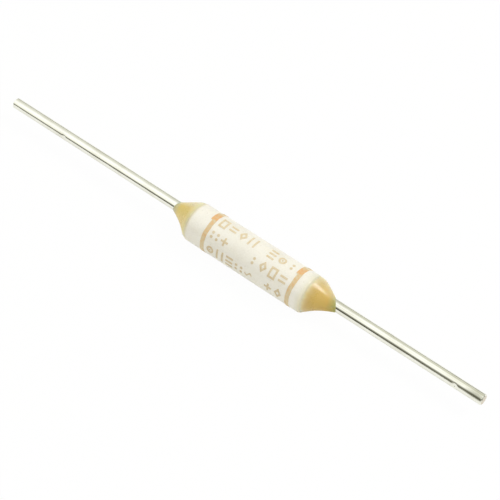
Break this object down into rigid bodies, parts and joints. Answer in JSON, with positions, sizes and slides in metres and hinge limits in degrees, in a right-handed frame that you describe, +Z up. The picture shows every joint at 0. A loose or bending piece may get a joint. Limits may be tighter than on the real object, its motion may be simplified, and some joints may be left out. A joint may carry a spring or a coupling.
{
  "type": "thermal fuse",
  "caption": "Axial thermal fuse: a white ceramic tube with amber resin ends, light-brown printed bands and plain marks, and straight tinned wire leads.",
  "frame": {"origin": "middle of the ceramic tube, on its axis", "axes": "+X along the tube towards the right lead, +Z up, +Y away from the viewer; both leads lie off the tube's axis towards +Y"},
  "size_m": [0.0512, 0.0036, 0.0036],
  "materials": {
    "ceramic": "fine-grained white alumina, satin",
    "tinned_copper": "bright tinned wire, drawn lengthwise",
    "fusible_metal": "dull low-melting alloy",
    "flux": "clear brown rosin-like coat",
    "resin": "cured amber resin, glossy and slightly cloudy",
    "ink": "thin light-brown ink"
  },
  "bodies": {
    "root": {"ceramic_tube": "ceramic", "left_lead": "tinned_copper", "right_lead": "tinned_copper", "fusible_alloy": "fusible_metal", "flux_coat": "flux", "left_seal": "resin", "right_seal": "resin", "left_band": "ink", "right_band": "ink", "print_marks": "ink"}
  },
  "joints": []
}
